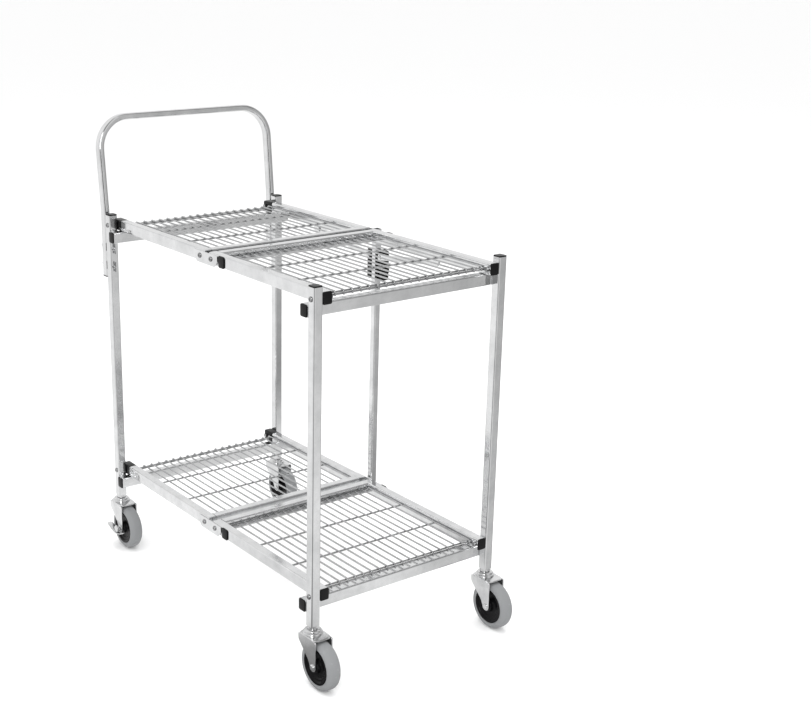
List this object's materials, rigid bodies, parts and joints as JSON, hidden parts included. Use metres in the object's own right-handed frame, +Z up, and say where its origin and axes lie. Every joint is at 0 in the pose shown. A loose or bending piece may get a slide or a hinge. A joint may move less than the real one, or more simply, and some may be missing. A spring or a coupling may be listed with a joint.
{
  "type": "folding shelf trolley",
  "caption": "Folding wire-shelf trolley on swivel casters, with a bent push handle, middle hinges on both shelves and a sliding fold latch",
  "frame": {"origin": "on the floor, under the middle of the trolley's bounding box, with the trolley open", "axes": "+X to the front, away from the push handle; +Y to the left, the side with the fold latch; +Z up"},
  "size_m": [0.9206, 0.51, 1.002],
  "materials": {
    "bright_steel": "polished",
    "zinc_steel": "satin",
    "black_plastic": "matte",
    "black_knob": "satin",
    "black_core": "satin",
    "grey_rubber": "matte"
  },
  "bodies": {
    "rear_frame": {"rear_leg_left": "bright_steel", "rear_leg_right": "bright_steel", "rear_upper_crossbar": "bright_steel", "rear_lower_crossbar": "bright_steel", "rear_caps": "black_plastic", "rear_pivot_bolts": "zinc_steel", "rear_caster_stems": "zinc_steel", "handle": "bright_steel", "handle_spacers": "black_plastic", "handle_bolts": "zinc_steel", "handle_plugs": "black_plastic"},
    "front_frame": {"front_leg_left": "bright_steel", "front_leg_right": "bright_steel", "front_upper_crossbar": "bright_steel", "front_lower_crossbar": "bright_steel", "front_caps": "black_plastic", "front_pivot_bolts": "zinc_steel", "front_caster_stems": "zinc_steel"},
    "upper_rear_shelf": {"upper_rear_shelf_frame": "bright_steel", "upper_rear_shelf_plastics": "black_plastic", "upper_rear_shelf_wires": "bright_steel", "rear_link_rivet": "zinc_steel"},
    "upper_front_shelf": {"upper_front_shelf_frame": "bright_steel", "upper_front_shelf_plastics": "black_plastic", "upper_front_shelf_wires": "bright_steel", "front_link_rivet": "zinc_steel"},
    "lower_rear_shelf": {"lower_rear_shelf_frame": "bright_steel", "lower_rear_shelf_plastics": "black_plastic", "lower_rear_shelf_wires": "bright_steel"},
    "lower_front_shelf": {"lower_front_shelf_frame": "bright_steel", "lower_front_shelf_plastics": "black_plastic", "lower_front_shelf_wires": "bright_steel"},
    "latch_post": {"latch_bar": "bright_steel", "upper_hinge_plate_left": "bright_steel", "lower_hinge_plate_left": "bright_steel", "hinge_bolts_left": "zinc_steel"},
    "upper_right_hinge": {"upper_hinge_plate_right": "bright_steel", "upper_hinge_bolts_right": "zinc_steel"},
    "lower_right_hinge": {"lower_hinge_plate_right": "bright_steel", "lower_hinge_bolts_right": "zinc_steel"},
    "rear_brace": {"rear_link": "bright_steel"},
    "front_brace": {"front_link": "bright_steel"},
    "slider": {"latch_collar": "black_plastic", "collar_pins": "zinc_steel"},
    "knob": {"latch_knob": "black_knob"},
    "rear_left_swivel": {"rear_left_fork": "zinc_steel"},
    "rear_left_wheel": {"rear_left_wheel_core": "black_core", "rear_left_tyre": "grey_rubber"},
    "rear_left_brake": {"rear_left_brake_pedal": "zinc_steel"},
    "rear_right_swivel": {"rear_right_fork": "zinc_steel"},
    "rear_right_wheel": {"rear_right_wheel_core": "black_core", "rear_right_tyre": "grey_rubber"},
    "rear_right_brake": {"rear_right_brake_pedal": "zinc_steel"},
    "front_left_swivel": {"front_left_fork": "zinc_steel"},
    "front_left_wheel": {"front_left_wheel_core": "black_core", "front_left_tyre": "grey_rubber"},
    "front_right_swivel": {"front_right_fork": "zinc_steel"},
    "front_right_wheel": {"front_right_wheel_core": "black_core", "front_right_tyre": "grey_rubber"}
  },
  "joints": [
    {"name": "shelf_fold", "type": "hinge", "parent": "rear_frame", "child": "upper_rear_shelf", "pos_m": [-0.39968, 0, 0.765], "axis": [0, -1, 0], "range_deg": [0, 84]},
    {"name": "post_upright", "type": "hinge", "parent": "upper_rear_shelf", "child": "latch_post", "pos_m": [-0.02968, 0, 0.765], "axis": [0, 1, 0], "range_deg": [0, 84]},
    {"name": "upper_front_fold", "type": "hinge", "parent": "latch_post", "child": "upper_front_shelf", "pos_m": [0.01232, 0, 0.765], "axis": [0, 1, 0], "range_deg": [0, 84]},
    {"name": "front_frame_upright", "type": "hinge", "parent": "upper_front_shelf", "child": "front_frame", "pos_m": [0.38232, 0, 0.765], "axis": [0, -1, 0], "range_deg": [0, 84]},
    {"name": "lower_rear_fold", "type": "hinge", "parent": "rear_frame", "child": "lower_rear_shelf", "pos_m": [-0.39968, 0, 0.184], "axis": [0, -1, 0], "range_deg": [0, 84]},
    {"name": "lower_front_fold", "type": "hinge", "parent": "latch_post", "child": "lower_front_shelf", "pos_m": [0.01232, 0, 0.184], "axis": [0, 1, 0], "range_deg": [0, 84]},
    {"name": "upper_right_hinge_upright", "type": "hinge", "parent": "upper_rear_shelf", "child": "upper_right_hinge", "pos_m": [-0.02968, 0, 0.765], "axis": [0, 1, 0], "range_deg": [0, 84]},
    {"name": "lower_right_hinge_upright", "type": "hinge", "parent": "lower_rear_shelf", "child": "lower_right_hinge", "pos_m": [-0.02968, 0, 0.184], "axis": [0, 1, 0], "range_deg": [0, 84]},
    {"name": "rear_brace_swing", "type": "hinge", "parent": "upper_rear_shelf", "child": "rear_brace", "pos_m": [-0.21968, 0, 0.74], "axis": [0, 1, 0], "range_deg": [0, 168]},
    {"name": "slider_upright", "type": "hinge", "parent": "rear_brace", "child": "slider", "pos_m": [-0.02968, 0, 0.715], "axis": [0, -1, 0], "range_deg": [0, 84]},
    {"name": "front_brace_swing", "type": "hinge", "parent": "upper_front_shelf", "child": "front_brace", "pos_m": [0.20232, 0, 0.74], "axis": [0, -1, 0], "range_deg": [0, 168]},
    {"name": "knob_pull", "type": "slide", "parent": "slider", "child": "knob", "axis": [0, 1, 0], "range_m": [0, 0.006], "stiffness_N_per_m": 300},
    {"name": "rear_left_caster_turn", "type": "hinge", "parent": "rear_frame", "child": "rear_left_swivel", "pos_m": [-0.39968, 0.22, 0.107], "axis": [0, 0, 1], "continuous": true},
    {"name": "rear_left_wheel_spin", "type": "hinge", "parent": "rear_left_swivel", "child": "rear_left_wheel", "pos_m": [-0.37168, 0.22, 0.05], "axis": [0, 1, 0], "continuous": true},
    {"name": "rear_left_brake_rock", "type": "hinge", "parent": "rear_left_swivel", "child": "rear_left_brake", "pos_m": [-0.37168, 0.22, 0.05], "axis": [0, -1, 0], "range_deg": [0, 12]},
    {"name": "rear_right_caster_turn", "type": "hinge", "parent": "rear_frame", "child": "rear_right_swivel", "pos_m": [-0.39968, -0.22, 0.107], "axis": [0, 0, 1], "continuous": true},
    {"name": "rear_right_wheel_spin", "type": "hinge", "parent": "rear_right_swivel", "child": "rear_right_wheel", "pos_m": [-0.37168, -0.22, 0.05], "axis": [0, 1, 0], "continuous": true},
    {"name": "rear_right_brake_rock", "type": "hinge", "parent": "rear_right_swivel", "child": "rear_right_brake", "pos_m": [-0.37168, -0.22, 0.05], "axis": [0, -1, 0], "range_deg": [0, 12]},
    {"name": "front_left_caster_turn", "type": "hinge", "parent": "front_frame", "child": "front_left_swivel", "pos_m": [0.38232, 0.22, 0.107], "axis": [0, 0, 1], "continuous": true},
    {"name": "front_left_wheel_spin", "type": "hinge", "parent": "front_left_swivel", "child": "front_left_wheel", "pos_m": [0.41032, 0.22, 0.05], "axis": [0, 1, 0], "continuous": true},
    {"name": "front_right_caster_turn", "type": "hinge", "parent": "front_frame", "child": "front_right_swivel", "pos_m": [0.38232, -0.22, 0.107], "axis": [0, 0, 1], "continuous": true},
    {"name": "front_right_wheel_spin", "type": "hinge", "parent": "front_right_swivel", "child": "front_right_wheel", "pos_m": [0.41032, -0.22, 0.05], "axis": [0, 1, 0], "continuous": true}
  ],
  "couplings": [
    {"joint": "post_upright", "follows": "shelf_fold", "ratio": 1},
    {"joint": "upper_front_fold", "follows": "shelf_fold", "ratio": 1},
    {"joint": "front_frame_upright", "follows": "shelf_fold", "ratio": 1},
    {"joint": "lower_rear_fold", "follows": "shelf_fold", "ratio": 1},
    {"joint": "lower_front_fold", "follows": "shelf_fold", "ratio": 1},
    {"joint": "upper_right_hinge_upright", "follows": "shelf_fold", "ratio": 1},
    {"joint": "lower_right_hinge_upright", "follows": "shelf_fold", "ratio": 1},
    {"joint": "rear_brace_swing", "follows": "shelf_fold", "ratio": 2},
    {"joint": "slider_upright", "follows": "shelf_fold", "ratio": 1},
    {"joint": "front_brace_swing", "follows": "shelf_fold", "ratio": 2}
  ]
}
